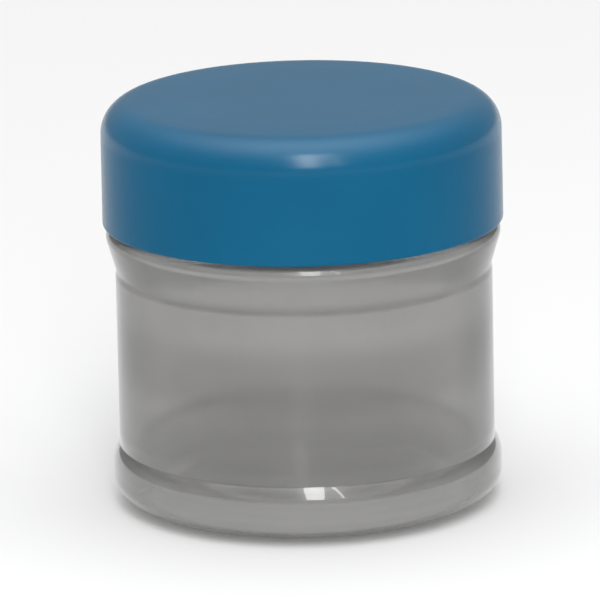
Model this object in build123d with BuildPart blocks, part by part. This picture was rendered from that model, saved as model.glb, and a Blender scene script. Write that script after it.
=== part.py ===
# Slide staining jar: a round straight-sided glass jar closed by a wide screw cap with a loose liner.
# Millimetres, +Z up. The origin is on the table, at the middle of the base, on the jar's own axis.
# A standard 76 mm microscope slide stands upright in the closed jar.

from build123d import *
from math import ceil, pi, radians, sin, tan
import os

os.makedirs("parts", exist_ok=True)

# Jar, pressed in one piece
lip_height = 87.6  # table to the ground land on the lip
bore_radius = 38.9  # the cavity is straight from the floor's corner to the lip
neck_wall = 2.6
panel_wall = 3.2
base_thickness = 6.0
floor_corner = 5.0
recess_depth = 1.2  # the underside is sunk inside its bearing ring
recess_slope = 3.0  # how far in the sloping side of the recess runs
bearing_width = 3.0  # flat ring that the jar stands on
heel_inset = 11.5  # bearing ring's edge inside the foot's widest line
heel_slope_inset = 6.5  # the heel is two arcs along a slope that runs this far in
heel_slope_rise = 3.6  # and this far up
under_round = 16.0
heel_round = 5.2
foot_rise = 1.6  # how far the foot stands out from the side panel
foot_height = 13.6  # table to the crease where the foot's crown meets the panel
crown_rise = 2.0  # height of the slope that the crown rounds over
crown_round = 6.4
crease_round = 0.6
shoulder_rise = 2.5  # how far the shoulder flares out from the side panel to its edge, unrounded
shoulder_height = 9.1  # start of the flare to the neck's root
shoulder_fall = 1.0  # the shoulder's top falls this much from the neck's root to the edge
flare_round = 4.0
shoulder_round = 2.5
finish_height = 23.7  # neck's root to lip
lip_outer_bevel = 1.0
lip_inner_bevel = 0.6

# Thread: one start, right-hand, the same lead on the neck and in the cap
thread_lead = 6.0
neck_thread_rise = 1.2
neck_thread_half_root = 1.6
neck_thread_half_tip = 0.5
neck_thread_turns = 2.25
neck_thread_drop = 3.6  # lip to the upper end of the thread
cap_thread_rise = 1.1
cap_thread_half_root = 1.1
cap_thread_half_tip = 0.6
cap_thread_turns = 2.0
cap_thread_inset = 4.0  # rim to the lower end of the thread
thread_sink = 0.4  # how deep a thread's root runs into its wall
run_out_turns = 0.12  # part of a turn over which each end dies away
run_out_share = 0.2  # size of the end section against the full one
sections_per_turn = 24

# Clearances
crest_clearance = 0.3  # neck thread's crest to the inside of the skirt
flank_clearance = 0.3  # thread to thread with the cap tight
rim_gap = 0.1  # neck's root to the height of the cap's rim
liner_clearance = 0.3  # liner's edge to its pocket

# Liner, cut from soft sheet
liner_thickness = 1.5
liner_inset = 0.9  # liner's edge inside the outer face of the neck

# Cap, moulded in one piece
skirt_wall = 1.7
skirt_draft = 0.15  # the outside draws in this much from the rim to the top
top_thickness = 2.6
top_round = 7.6
rim_bevel = 0.4
pocket_depth = 1.1  # the pocket holds the liner by its upper edge

# Sizes that follow: jar
neck_radius = bore_radius + neck_wall
panel_radius = bore_radius + panel_wall
foot_radius = panel_radius + foot_rise
root_height = lip_height - finish_height
flare_height = root_height - shoulder_height
bearing_radius = foot_radius - heel_inset
recess_radius = bearing_radius - bearing_width

# Sizes that follow: liner and cap
liner_radius = neck_radius - liner_inset
ceiling_height = lip_height + liner_thickness
top_height = ceiling_height + top_thickness
rim_height = root_height + rim_gap
skirt_bore = neck_radius + neck_thread_rise + crest_clearance
cap_radius = skirt_bore + skirt_wall
pocket_radius = liner_radius + liner_clearance
pocket_height = ceiling_height - pocket_depth
pocket_slope = skirt_bore - pocket_radius

# Both threads climb one helix. Their heights at angle zero fix how they mesh: the cap's thread runs
# just under the neck's, so that tightening draws it up against the neck thread's lower flank.
neck_thread_zero = lip_height - neck_thread_drop
half_widths = neck_thread_half_root + cap_thread_half_tip
cap_thread_zero = neck_thread_zero - half_widths - flank_clearance
cap_thread_start = (rim_height + cap_thread_inset - cap_thread_zero) / thread_lead


def fitted(corners, radii):
    """The radii for the corners of an outline, smaller where two arcs would overrun the wall between."""
    walls = [Vector(end) - Vector(start) for start, end in zip(corners, corners[1:])]
    turns = [radians(wall.get_angle(following)) for wall, following in zip(walls, walls[1:])]
    reaches = [0] + [radius * tan(turn / 2) for radius, turn in zip(radii, turns)] + [0]
    needs = [1.01 * (reach + following) for reach, following in zip(reaches, reaches[1:])]
    rooms = [min(1, wall.length / need) for wall, need in zip(walls, needs)]
    return [radius * min(room, following) for radius, room, following in zip(radii, rooms, rooms[1:])]


def thread_stations(start_turn, turns, zero_height):
    """Upright planes out from the axis along a thread, each with the size of its section there."""
    steps = ceil(turns * sections_per_turn)
    stations = []
    for step in range(steps + 1):
        done = turns * step / steps
        turn = start_turn + done
        outward = Vector(1, 0, 0).rotate(Axis.Z, 360 * turn)
        across = Vector(0, -1, 0).rotate(Axis.Z, 360 * turn)
        plane = Plane((0, 0, zero_height + thread_lead * turn), x_dir=outward, z_dir=across)
        ramp = min(done, turns - done, run_out_turns) / run_out_turns
        share = run_out_share + (1 - run_out_share) * sin(pi / 2 * ramp)
        stations.append((plane, share))
    return stations


heel_to_neck = [
    (bearing_radius, 0),
    (foot_radius - heel_slope_inset, 0),
    (foot_radius, heel_slope_rise),
    (foot_radius, foot_height - crown_rise),
    (panel_radius, foot_height),
    (panel_radius, flare_height),
    (panel_radius + shoulder_rise, root_height - shoulder_fall),
    (neck_radius, root_height),
]
heel_to_neck_rounds = [
    under_round,
    heel_round,
    crown_round,
    crease_round,
    flare_round,
    shoulder_round,
]

# Jar. The outline runs from the middle of the underside, up the outside, over the lip and down the bore.
with BuildPart() as jar:
    with BuildSketch(Plane.XZ):
        with BuildLine():
            Polyline(
                (0, recess_depth),
                (recess_radius - recess_slope, recess_depth),
                (recess_radius, 0),
                (bearing_radius, 0),
            )
            outside = FilletPolyline(*heel_to_neck, radius=fitted(heel_to_neck, heel_to_neck_rounds))
            Polyline(
                outside @ 1,
                (neck_radius, lip_height - lip_outer_bevel),
                (neck_radius - lip_outer_bevel, lip_height),
                (bore_radius + lip_inner_bevel, lip_height),
                (bore_radius, lip_height - lip_inner_bevel),
                (bore_radius, base_thickness + floor_corner),
            )
            floor = JernArc((bore_radius, base_thickness + floor_corner), (0, -1), floor_corner, -90)
            Polyline(floor @ 1, (0, base_thickness), (0, recess_depth))
        make_face()
    revolve(axis=Axis.Z)

    # The neck thread swells out of the neck and dies away again at each end
    for plane, share in thread_stations(-neck_thread_turns, neck_thread_turns, neck_thread_zero):
        with BuildSketch(plane):
            Polygon(
                (neck_radius - thread_sink, -neck_thread_half_root * share),
                (neck_radius + neck_thread_rise * share, -neck_thread_half_tip * share),
                (neck_radius + neck_thread_rise * share, neck_thread_half_tip * share),
                (neck_radius - thread_sink, neck_thread_half_root * share),
                align=None,
            )
    loft()
jar.part.label = "jar"
export_step(jar.part, "parts/jar.step")

# Liner. It lies on the lip and reaches up into the pocket under the cap's top.
with BuildPart() as liner:
    with BuildSketch(Plane.XY.offset(lip_height)):
        Circle(liner_radius)
    extrude(amount=liner_thickness)
liner.part.label = "liner"
export_step(liner.part, "parts/liner.step")

# Cap. The outline runs from the middle of the top, down the outside, round the rim and up the inside.
with BuildPart() as screw_cap:
    with BuildSketch(Plane.XZ):
        with BuildLine():
            outside = FilletPolyline(
                (0, top_height),
                (cap_radius - skirt_draft, top_height),
                (cap_radius, rim_height + rim_bevel),
                radius=top_round,
            )
            Polyline(
                outside @ 1,
                (cap_radius - rim_bevel, rim_height),
                (skirt_bore + rim_bevel, rim_height),
                (skirt_bore, rim_height + rim_bevel),
                (skirt_bore, pocket_height - pocket_slope),
                (pocket_radius, pocket_height),
                (pocket_radius, ceiling_height),
                (0, ceiling_height),
                outside @ 0,
            )
        make_face()
    revolve(axis=Axis.Z)

    # The cap thread is narrower than the neck's and stands inwards
    for plane, share in thread_stations(cap_thread_start, cap_thread_turns, cap_thread_zero):
        with BuildSketch(plane):
            Polygon(
                (skirt_bore + thread_sink, -cap_thread_half_root * share),
                (skirt_bore + thread_sink, cap_thread_half_root * share),
                (skirt_bore - cap_thread_rise * share, cap_thread_half_tip * share),
                (skirt_bore - cap_thread_rise * share, -cap_thread_half_tip * share),
                align=None,
            )
    loft()
screw_cap.part.label = "screw_cap"
export_step(screw_cap.part, "parts/screw_cap.step")
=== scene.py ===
import math

import bpy
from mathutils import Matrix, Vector


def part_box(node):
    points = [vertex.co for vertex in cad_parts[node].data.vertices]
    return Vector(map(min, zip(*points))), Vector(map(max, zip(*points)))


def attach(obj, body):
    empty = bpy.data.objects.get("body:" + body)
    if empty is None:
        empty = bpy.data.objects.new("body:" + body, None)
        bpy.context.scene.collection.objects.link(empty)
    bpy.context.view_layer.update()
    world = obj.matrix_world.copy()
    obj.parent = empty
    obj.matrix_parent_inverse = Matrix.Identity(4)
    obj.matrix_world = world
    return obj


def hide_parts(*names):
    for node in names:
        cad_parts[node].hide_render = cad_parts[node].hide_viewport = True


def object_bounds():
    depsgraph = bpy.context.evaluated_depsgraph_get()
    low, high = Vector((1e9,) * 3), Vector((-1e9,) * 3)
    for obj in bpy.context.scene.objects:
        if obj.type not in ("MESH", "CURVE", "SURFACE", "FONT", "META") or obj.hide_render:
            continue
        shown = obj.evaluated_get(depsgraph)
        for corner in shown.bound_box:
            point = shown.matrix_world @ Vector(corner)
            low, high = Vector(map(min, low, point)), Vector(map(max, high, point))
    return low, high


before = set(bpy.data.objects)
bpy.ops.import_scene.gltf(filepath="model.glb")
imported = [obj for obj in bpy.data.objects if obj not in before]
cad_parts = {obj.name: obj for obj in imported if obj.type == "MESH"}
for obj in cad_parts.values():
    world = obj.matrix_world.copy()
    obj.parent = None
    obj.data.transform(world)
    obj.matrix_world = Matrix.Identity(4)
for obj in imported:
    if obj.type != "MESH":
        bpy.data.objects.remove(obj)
cad_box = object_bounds()
mm = 0.001


# ---------------------------------------------------------------------------
# Jar. A wide-mouth jar of soda-lime glass, pressed in one piece: a foot with a
# rounded heel, a straight side, a shoulder that flares out to the cap's rim and
# a threaded neck. It stands on a narrow ring round its sunk underside.
# ---------------------------------------------------------------------------

shoulder_reach = 1.883 * mm  # the rounded shoulder stands out this far past the side panel
foot_rise = 1.6 * mm
panel_wall = 3.2 * mm
neck_wall = 2.6 * mm
finish_height = 23.7 * mm
shoulder_height = 9.1 * mm
groove_drop = 1.3 * mm  # start of the flare to the groove that runs under the shoulder
groove_depth = 0.25 * mm
foot_height = 13.6 * mm
floor_height = 6.0 * mm
recess_inset = 14.5 * mm
recess_depth = 1.2 * mm

jar_low, jar_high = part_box("jar")
lip_height = jar_high.z
panel_radius = jar_high.x - shoulder_reach
foot_radius = panel_radius + foot_rise
bore_radius = panel_radius - panel_wall
neck_radius = bore_radius + neck_wall
root_height = lip_height - finish_height
groove_height = root_height - shoulder_height - groove_drop
recess_radius = foot_radius - recess_inset

thread_lead = 6.0 * mm
neck_thread_rise = 1.2 * mm
neck_thread_top = lip_height - 3.6 * mm
neck_thread_turns = 2.25
thread_run_out = 0.14

segments = 256
arc_step = math.radians(6)
thread_step = 0.4 * mm
guard = 0.2 * mm


def rounded(corners):
    """The outline through corners of (radius, height, rounding), each corner turned into an arc."""
    points = [Vector(corners[0][:2])]
    for before, corner, after in zip(corners, corners[1:], corners[2:]):
        here = Vector(corner[:2])
        back = (Vector(before[:2]) - here).normalized()
        ahead = (Vector(after[:2]) - here).normalized()
        half = back.angle(ahead) / 2
        if corner[2] == 0 or half > math.radians(89.9):
            points.append(here)
            continue
        start = here + back * corner[2] / math.tan(half)
        end = here + ahead * corner[2] / math.tan(half)
        centre = here + (back + ahead).normalized() * corner[2] / math.sin(half)
        steps = max(3, math.ceil((math.pi - 2 * half) / arc_step))
        for step in range(steps + 1):
            arm = (start - centre).slerp(end - centre, step / steps)
            points.append(centre + arm.normalized() * corner[2])
    points.append(Vector(corners[-1][:2]))
    return points


def guarded(outline):
    """The outline with a point near each end of every long straight, to keep it straight when smoothed."""
    points = outline[:1]
    for start, end in zip(outline, outline[1:]):
        along = end - start
        if along.length > 1.0 * mm:
            points += [start + along.normalized() * guard, end - along.normalized() * guard]
        points.append(end)
    return points


def turned(name, outline):
    """A piece turned about the Z axis from its outline, drawn by extruding a single point."""
    bpy.ops.object.select_all(action="DESELECT")
    bpy.ops.mesh.primitive_plane_add(location=(0, 0, 0))
    piece = bpy.context.object
    piece.name = piece.data.name = name
    bpy.ops.object.mode_set(mode="EDIT")
    bpy.ops.mesh.merge(type="CENTER")
    here = Vector((0, 0))
    for point in outline:
        move = (point.x - here.x, 0, point.y - here.y)
        if point is outline[0]:
            bpy.ops.transform.translate(value=move)
        else:
            bpy.ops.mesh.extrude_vertices_move(TRANSFORM_OT_translate={"value": move})
        here = point
    bpy.ops.mesh.select_all(action="SELECT")
    bpy.ops.mesh.spin(steps=segments, angle=2 * math.pi, center=(0, 0, 0), axis=(0, 0, 1))
    bpy.ops.mesh.select_all(action="SELECT")
    bpy.ops.mesh.remove_doubles(threshold=0.002 * mm)
    bpy.ops.mesh.normals_make_consistent(inside=False)
    bpy.ops.object.mode_set(mode="OBJECT")
    bpy.ops.object.shade_smooth()
    return piece


def rings(start, end, step):
    """Points on a straight stretch of an outline, close enough together to carry a thread."""
    start, end = Vector(start), Vector(end)
    count = math.ceil((end - start).length / step)
    return [start.lerp(end, i / count) for i in range(1, count)]


def swell(piece, wall_radius, zero_height, first_turn, last_turn, rise, half_tip, half_root):
    """Raises a thread out of the wall: it climbs one lead a turn and dies away at both ends."""
    for vertex in piece.data.vertices:
        x, y, z = vertex.co
        radius = math.hypot(x, y)
        if abs(radius - wall_radius) > 0.05 * mm:
            continue
        turn = math.atan2(y, x) / (2 * math.pi)
        turn += round((z - zero_height) / thread_lead - turn)
        off = abs(z - zero_height - thread_lead * turn)
        flank = min(max((half_root - off) / (half_root - half_tip), 0), 1)
        ramp = min(max(min(turn - first_turn, last_turn - turn) / thread_run_out, 0), 1)
        height = rise * flank * flank * (3 - 2 * flank) * math.sin(ramp * math.pi / 2)
        vertex.co.x *= (radius + height) / radius
        vertex.co.y *= (radius + height) / radius
    piece.data.update()


below_neck = rounded([
    (0, recess_depth, 0),
    (recess_radius - 3.0 * mm, recess_depth, 2 * mm),
    (recess_radius, 0, 0.6 * mm),
    (foot_radius - 6.5 * mm, 0, 16.0 * mm),
    (foot_radius, 3.6 * mm, 5.2 * mm),
    (foot_radius, foot_height - 2.0 * mm, 6.4 * mm),
    (panel_radius, foot_height, 0.6 * mm),
    (panel_radius, groove_height - 1.4 * mm, 1.5 * mm),
    (panel_radius - groove_depth, groove_height, 1.2 * mm),
    (panel_radius + 2.5 * mm, root_height - 1.0 * mm, 2.5 * mm),
    (neck_radius, root_height, 0.2 * mm),
    (neck_radius, root_height + 1.0 * mm, 0),
])
above_neck = rounded([
    (neck_radius, lip_height - 2.0 * mm, 0),
    (neck_radius, lip_height, 1.4 * mm),
    (bore_radius, lip_height, 0.9 * mm),
    (bore_radius, floor_height, 5.0 * mm),
    (0, floor_height, 0),
])
neck = rings(below_neck[-1], above_neck[0], thread_step)
jar = turned("pressed_glass_jar", guarded(below_neck) + neck + guarded(above_neck))
swell(jar, neck_radius, neck_thread_top, -neck_thread_turns, 0, neck_thread_rise, 0.5 * mm, 1.4 * mm)


def linear(code):
    """An sRGB hex colour as the linear values that a shader takes."""
    parts = [int(code[i:i + 2], 16) / 255 for i in (1, 3, 5)]
    return [p / 12.92 if p <= 0.04045 else ((p + 0.055) / 1.055) ** 2.4 for p in parts] + [1]


def add(material, kind, settings=None, links=None):
    """One shader node. Settings name its properties or sockets, links give a socket its source."""
    made = material.node_tree.nodes.new(kind)
    for key, value in (settings or {}).items():
        if isinstance(key, str) and hasattr(made, key):
            setattr(made, key, value)
        else:
            made.inputs[key].default_value = value
    for key, source in (links or {}).items():
        material.node_tree.links.new(source, made.inputs[key])
    return made


def new_material(name):
    made = bpy.data.materials.new(name)
    made.use_nodes = True
    made.node_tree.nodes.clear()
    return made


# Pressed soda-lime glass, with a slow waviness from the mould. Years of hard water have left a grey film
# outside, which tints and softens what shows through and scatters some light itself, most of all on the
# thick foot. The film is painted darker in the groove under the shoulder and in a soft band round the side.
# This is painted shade: a dark line under the shoulder, and the cap's shadow on the floor seen through the
# glass.
# The foot keeps its full polish, the neck is nearly clear where the cap covers it, and the bore is clean.
glass = new_material("pressed_soda_lime_glass")
face_margin = 0.4 * mm  # tells the outer faces from the bore and the floor
rim_blend = 0.5 * mm  # the film thins out over this much on each side of the neck's root
foot_film = (6.0 * mm, 14.0 * mm)  # the film lets less light through below, more above
foot_polish = (14.0 * mm, 17.0 * mm)  # full polish below, little above
ring_wear = (0.5 * mm, 3.0 * mm)  # the bearing ring is ground rough by the bench
# Painted shade bands: middle height, half width of the even part, distance at which it has faded, extra
# darkness
painted_shade_bands = (
    # painted shade: a dark line along the groove under the shoulder
    (groove_height, 0.0, 1.6 * mm, 1.3),
    # painted shade: the cap's shadow on the floor, seen through the side
    (37.0 * mm, 3.0 * mm, 10.0 * mm, 1.35),
)
place = add(glass, "ShaderNodeTexCoord").outputs["Object"]
wave_grain = add(glass, "ShaderNodeTexNoise", {"Scale": 1 / 0.018, "Detail": 1.0}, {"Vector": place})
wave = add(glass, "ShaderNodeBump", {"Strength": 0.5, "Distance": 0.00012},
           {"Height": wave_grain.outputs["Fac"]})

# How much film each point carries: none in the bore, little where the cap covers the neck
across = add(glass, "ShaderNodeVectorMath", {"operation": "MULTIPLY", 1: (1, 1, 0)}, {0: place})
radius = add(glass, "ShaderNodeVectorMath", {"operation": "LENGTH"}, {0: across.outputs["Vector"]})
height = add(glass, "ShaderNodeSeparateXYZ", None, {"Vector": place})
beyond = add(glass, "ShaderNodeMath", {"operation": "GREATER_THAN", 1: bore_radius + face_margin},
             {0: radius.outputs["Value"]})
beneath = add(glass, "ShaderNodeMath", {"operation": "LESS_THAN", 1: floor_height - face_margin},
              {0: height.outputs["Z"]})
outer_face = add(glass, "ShaderNodeMath", {"operation": "MAXIMUM"},
                 {0: beyond.outputs["Value"], 1: beneath.outputs["Value"]})
exposure = add(glass, "ShaderNodeMapRange",
               {"From Min": root_height - rim_blend, "From Max": root_height + rim_blend,
                "To Min": 1.0, "To Max": 0.3},
               {"Value": height.outputs["Z"]})
film_share = add(glass, "ShaderNodeMath", {"operation": "MULTIPLY"},
                 {0: outer_face.outputs["Value"], 1: exposure.outputs["Result"]})

# How the film looks: its clearness, and a grey that deepens at a slant and darkens in the painted shade bands
film_clearness = add(glass, "ShaderNodeMapRange",
                     {"From Min": foot_film[0], "From Max": foot_film[1], "To Min": 0.35, "To Max": 0.76},
                     {"Value": height.outputs["Z"]})
see_through = add(glass, "ShaderNodeMix", {"data_type": "FLOAT", "A": 1.0},
                  {"Factor": film_share.outputs["Value"], "B": film_clearness.outputs["Result"]})
patches = add(glass, "ShaderNodeTexNoise", {"Scale": 1 / 0.012, "Detail": 4.0}, {"Vector": place})
film_grey = add(glass, "ShaderNodeMix", {"data_type": "RGBA", "A": linear("#A2A1A0"), "B": linear("#A9A8A7")},
                {"Factor": patches.outputs["Fac"]})
tone = add(glass, "ShaderNodeMix", {"data_type": "RGBA", "A": linear("#FAFAF9")},
           {"Factor": film_share.outputs["Value"]})
polish = add(glass, "ShaderNodeMapRange",
             {"From Min": foot_polish[0], "From Max": foot_polish[1], "To Min": 1.0, "To Max": 0.35},
             {"Value": height.outputs["Z"]})
slant = add(glass, "ShaderNodeLayerWeight", {"Blend": 0.5})
deeper = add(glass, "ShaderNodeMapRange", {"From Min": 0.4, "To Min": 1.0, "To Max": 2.6},
             {"Value": slant.outputs["Facing"]})
film_depth_and_shade = deeper.outputs["Result"]
# Each band darkens the film's grey, as painted shade
for middle, even, fade, shade_extra in painted_shade_bands:
    below = add(glass, "ShaderNodeMath", {"operation": "SUBTRACT", 1: middle}, {0: height.outputs["Z"]})
    away = add(glass, "ShaderNodeMath", {"operation": "ABSOLUTE"}, {0: below.outputs["Value"]})
    shade_band = add(glass, "ShaderNodeMapRange",
               {"interpolation_type": "SMOOTHSTEP", "From Min": even, "From Max": fade,
                "To Min": shade_extra, "To Max": 1.0},
               {"Value": away.outputs["Value"]})
    film_depth_and_shade = add(glass, "ShaderNodeMath", {"operation": "MULTIPLY"},
                    {0: film_depth_and_shade, 1: shade_band.outputs["Result"]}).outputs["Value"]
film_tone = add(glass, "ShaderNodeGamma", None, {"Color": film_grey.outputs["Result"], "Gamma": film_depth_and_shade})
glass.node_tree.links.new(film_tone.outputs["Color"], tone.inputs["B"])

# How rough it is: the film dulls it in patches, and the bearing ring is rougher still
dull = add(glass, "ShaderNodeMapRange", {"From Min": 0.3, "From Max": 0.7, "To Min": 0.17, "To Max": 0.23},
           {"Value": patches.outputs["Fac"]})
ground = add(glass, "ShaderNodeMapRange",
             {"From Min": ring_wear[1], "From Max": ring_wear[0], "To Min": 0.0, "To Max": 0.3},
             {"Value": height.outputs["Z"]})
rougher = add(glass, "ShaderNodeMath", None, {0: dull.outputs["Result"], 1: ground.outputs["Result"]})
worn = add(glass, "ShaderNodeMath", {"operation": "MULTIPLY"},
           {0: rougher.outputs["Value"], 1: film_share.outputs["Value"]})
body = add(glass, "ShaderNodeBsdfPrincipled",
           {"IOR": 1.52, "Coat Roughness": 0.03, "Coat IOR": 1.52},
           {"Base Color": tone.outputs["Result"], "Roughness": worn.outputs["Value"],
            "Transmission Weight": see_through.outputs["Result"], "Coat Weight": polish.outputs["Result"],
            "Normal": wave.outputs["Normal"]})

# Shadow rays, which glass would stop, pass through the walls and are greyed at each face
path = add(glass, "ShaderNodeLightPath")
clear = add(glass, "ShaderNodeBsdfTransparent", {"Color": linear("#D0D0CF")})
shown = add(glass, "ShaderNodeMixShader", None,
            {0: path.outputs["Is Shadow Ray"], 1: body.outputs["BSDF"], 2: clear.outputs["BSDF"]})
add(glass, "ShaderNodeOutputMaterial", None, {"Surface": shown.outputs["Shader"]})
jar.data.materials.append(glass)
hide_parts("jar")
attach(jar, "jar")


# ---------------------------------------------------------------------------
# Liner. A loose disc cut from white expanded polyethylene sheet. It lies on the
# lip and reaches up into the pocket under the cap's top.
# ---------------------------------------------------------------------------

liner_low, liner_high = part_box("liner")
liner_radius = liner_high.x
liner_edge = 0.3 * mm
lip_gap = 0.04 * mm

liner = turned("foam_liner", guarded(rounded([
    (0, liner_low.z + lip_gap, 0),
    (liner_radius, liner_low.z + lip_gap, liner_edge),
    (liner_radius, liner_high.z, liner_edge),
    (0, liner_high.z, 0),
])))

foam = new_material("expanded_polyethylene_foam")
place = add(foam, "ShaderNodeTexCoord").outputs["Object"]
cells = add(foam, "ShaderNodeTexVoronoi", {"Scale": 1 / 0.0009}, {"Vector": place})
shade = add(foam, "ShaderNodeValToRGB", None, {"Fac": cells.outputs["Distance"]})
shade.color_ramp.elements[0].color = linear("#DCDCD8")
shade.color_ramp.elements[1].color = linear("#F2F2EE")
dimple = add(foam, "ShaderNodeBump", {"Strength": 0.4, "Distance": 0.0002},
             {"Height": cells.outputs["Distance"]})
body = add(foam, "ShaderNodeBsdfPrincipled",
           {"Roughness": 0.7, "Subsurface Weight": 0.2, "Subsurface Scale": 0.001},
           {"Base Color": shade.outputs["Color"], "Normal": dimple.outputs["Normal"]})
add(foam, "ShaderNodeOutputMaterial", None, {"Surface": body.outputs["BSDF"]})
liner.data.materials.append(foam)
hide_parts("liner")
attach(liner, "liner")


# ---------------------------------------------------------------------------
# Cap. A wide screw cap moulded in blue polypropylene, smooth outside with a
# broad round along its top edge. Its thread stands inwards from the skirt, and
# a shallow pocket under the top holds the liner.
# ---------------------------------------------------------------------------

cap_low, cap_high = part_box("screw_cap")
cap_radius = cap_high.x
rim_height = cap_low.z
top_height = cap_high.z
skirt_bore = cap_radius - 1.7 * mm
ceiling_height = liner_high.z
pocket_radius = liner_radius + 0.3 * mm
pocket_height = ceiling_height - 1.1 * mm
pocket_slope = skirt_bore - pocket_radius
cap_thread_rise = 1.1 * mm
cap_thread_top = neck_thread_top - 2.5 * mm
cap_thread_first = (rim_height + 4.0 * mm - cap_thread_top) / thread_lead
cap_thread_last = cap_thread_first + 2.0

outside = rounded([
    (0, top_height, 0),
    (29.0 * mm, top_height, 120.0 * mm),
    (36.6 * mm, top_height - 0.12 * mm, 30.0 * mm),
    (cap_radius - 0.15 * mm, top_height - 0.7 * mm, 7.0 * mm),
    (cap_radius, rim_height, 0.5 * mm),
    (skirt_bore, rim_height, 0.4 * mm),
    (skirt_bore, rim_height + 1.0 * mm, 0),
])
inside = rounded([
    (skirt_bore, pocket_height - pocket_slope - 0.6 * mm, 0),
    (skirt_bore, pocket_height - pocket_slope, 0.5 * mm),
    (pocket_radius, pocket_height, 0.3 * mm),
    (pocket_radius, ceiling_height, 0.2 * mm),
    (0, ceiling_height, 0),
])
skirt = rings(outside[-1], inside[0], thread_step)
cap = turned("moulded_screw_cap", guarded(outside) + skirt + guarded(inside))
swell(cap, skirt_bore, cap_thread_top, cap_thread_first, cap_thread_last, -cap_thread_rise,
      0.6 * mm, 1.0 * mm)

# Moulded polypropylene: a waxy semi-gloss on the top and its round edge, duller down the skirt where
# fingers grip it, with a faint clouding of the pigment and a very fine eggshell from the mould. The
# eggshell is drawn coarser than it is, so that it shows.
plastic = new_material("moulded_blue_polypropylene")
grip_edge = (top_height - 8.5 * mm, top_height - 4.0 * mm)  # dull below, polished above
place = add(plastic, "ShaderNodeTexCoord").outputs["Object"]
cloud = add(plastic, "ShaderNodeTexNoise", {"Scale": 1 / 0.03, "Detail": 3.0}, {"Vector": place})
tint = add(plastic, "ShaderNodeValToRGB", None, {"Fac": cloud.outputs["Fac"]})
tint.color_ramp.elements[0].position = 0.3
tint.color_ramp.elements[0].color = linear("#065A7E")
tint.color_ramp.elements[1].position = 0.7
tint.color_ramp.elements[1].color = linear("#085F85")
eggshell = add(plastic, "ShaderNodeTexNoise", {"Scale": 1 / 0.0006, "Detail": 2.0}, {"Vector": place})
skin = add(plastic, "ShaderNodeBump", {"Strength": 0.15, "Distance": 0.00005},
           {"Height": eggshell.outputs["Fac"]})
height = add(plastic, "ShaderNodeSeparateXYZ", None, {"Vector": place})
polish = add(plastic, "ShaderNodeMapRange",
             {"interpolation_type": "SMOOTHSTEP", "From Min": grip_edge[0], "From Max": grip_edge[1],
              "To Min": 0.11, "To Max": 0.46},
             {"Value": height.outputs["Z"]})
gloss = add(plastic, "ShaderNodeMapRange", {"From Min": 0.3, "From Max": 0.7, "To Min": 0.21, "To Max": 0.25},
            {"Value": cloud.outputs["Fac"]})
body = add(plastic, "ShaderNodeBsdfPrincipled", {"IOR": 1.49},
           {"Base Color": tint.outputs["Color"], "Roughness": gloss.outputs["Result"],
            "Specular IOR Level": polish.outputs["Result"], "Normal": skin.outputs["Normal"]})
add(plastic, "ShaderNodeOutputMaterial", None, {"Surface": body.outputs["BSDF"]})
cap.data.materials.append(plastic)
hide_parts("screw_cap")
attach(cap, "cap")


# ---------------------------------------------------------------------------
# Floor. One wide sheet of matt white card that the jar stands on.
# ---------------------------------------------------------------------------

bpy.ops.object.select_all(action="DESELECT")
bpy.ops.mesh.primitive_circle_add(vertices=128, radius=4.0, fill_type="NGON", location=(0, 0, cad_box[0].z))
floor = bpy.context.object
floor.name = "floor"
card = new_material("matt_white_card")
body = add(card, "ShaderNodeBsdfPrincipled",
           {"Base Color": linear("#F2F2F2"), "Roughness": 0.9, "Specular IOR Level": 0.1})
add(card, "ShaderNodeOutputMaterial", None, {"Surface": body.outputs["BSDF"]})
floor.data.materials.append(card)


# ---------------------------------------------------------------------------
# Light. A room that is dim at eye level and brightest overhead, and in front a
# tall window with a narrow pane beside it, a little to the right.
# ---------------------------------------------------------------------------

centre = (cad_box[0] + cad_box[1]) / 2


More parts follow.
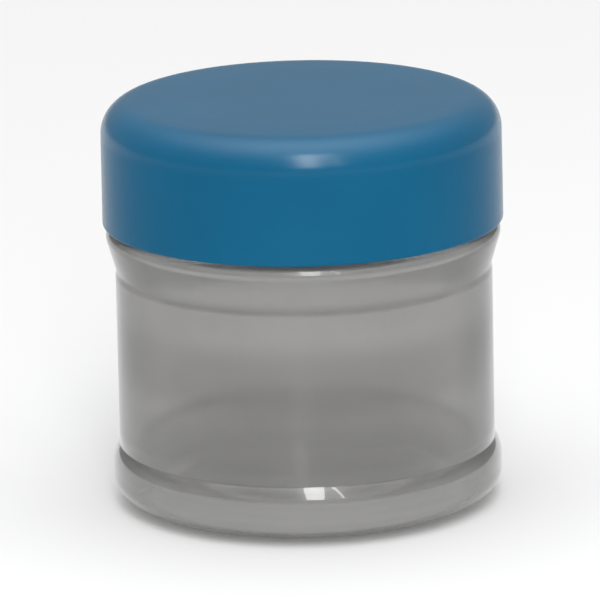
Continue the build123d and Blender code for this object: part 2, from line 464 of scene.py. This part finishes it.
def panel_light(name, azimuth, elevation, distance, width, height, power):
    bpy.ops.object.select_all(action="DESELECT")
    bpy.ops.object.light_add(type="AREA")
    lamp = bpy.context.object
    lamp.name = name
    around, above = math.radians(azimuth), math.radians(elevation)
    back = Vector((math.sin(around) * math.cos(above), -math.cos(around) * math.cos(above), math.sin(above)))
    lamp.location = centre + back * distance
    lamp.rotation_euler = back.to_track_quat("Z", "Y").to_euler()
    lamp.data.shape = "RECTANGLE"
    lamp.data.size = width
    lamp.data.size_y = height
    lamp.data.energy = power
    return lamp


panel_light("window", 4.0, 36, 1.0, 0.18, 0.85, 3.7)
panel_light("side_pane", 20, 36, 1.0, 0.03, 0.8, 0.6)

room = bpy.data.worlds.new("grey_room")
bpy.context.scene.world = room
room.use_nodes = True
room.node_tree.nodes["Background"].inputs["Color"].default_value = linear("#FFFFFF")
sky = add(room, "ShaderNodeTexCoord").outputs["Generated"]
level = add(room, "ShaderNodeSeparateXYZ", None, {"Vector": sky})
climb = add(room, "ShaderNodeMath", {"operation": "POWER", 1: 5.0}, {0: level.outputs["Z"]})
glow = add(room, "ShaderNodeMapRange", {"To Min": 0.34, "To Max": 2.5}, {"Value": climb.outputs["Value"]})
room.node_tree.links.new(glow.outputs["Result"], room.node_tree.nodes["Background"].inputs["Strength"])


# ---------------------------------------------------------------------------
# Camera. A long lens, looking slightly down on the jar and held a touch off level.
# ---------------------------------------------------------------------------

view_distance = 1.5
view_elevation = math.radians(14.6)
view_roll = math.radians(-1.2)
view_width = 134.26 * mm
aim = centre + Vector((-1.03, 0.13, -0.80)) * mm

bpy.ops.object.camera_add()
camera = bpy.context.object
camera.data.sensor_width = 36
camera.data.lens = 36 * view_distance / view_width
camera.data.clip_end = 50
camera.rotation_mode = "ZYX"
camera.rotation_euler = (math.pi / 2 - view_elevation, 0, view_roll)
camera.location = aim + Vector((0, -math.cos(view_elevation), math.sin(view_elevation))) * view_distance
bpy.context.scene.camera = camera
bpy.context.scene.view_settings.view_transform = "Standard"
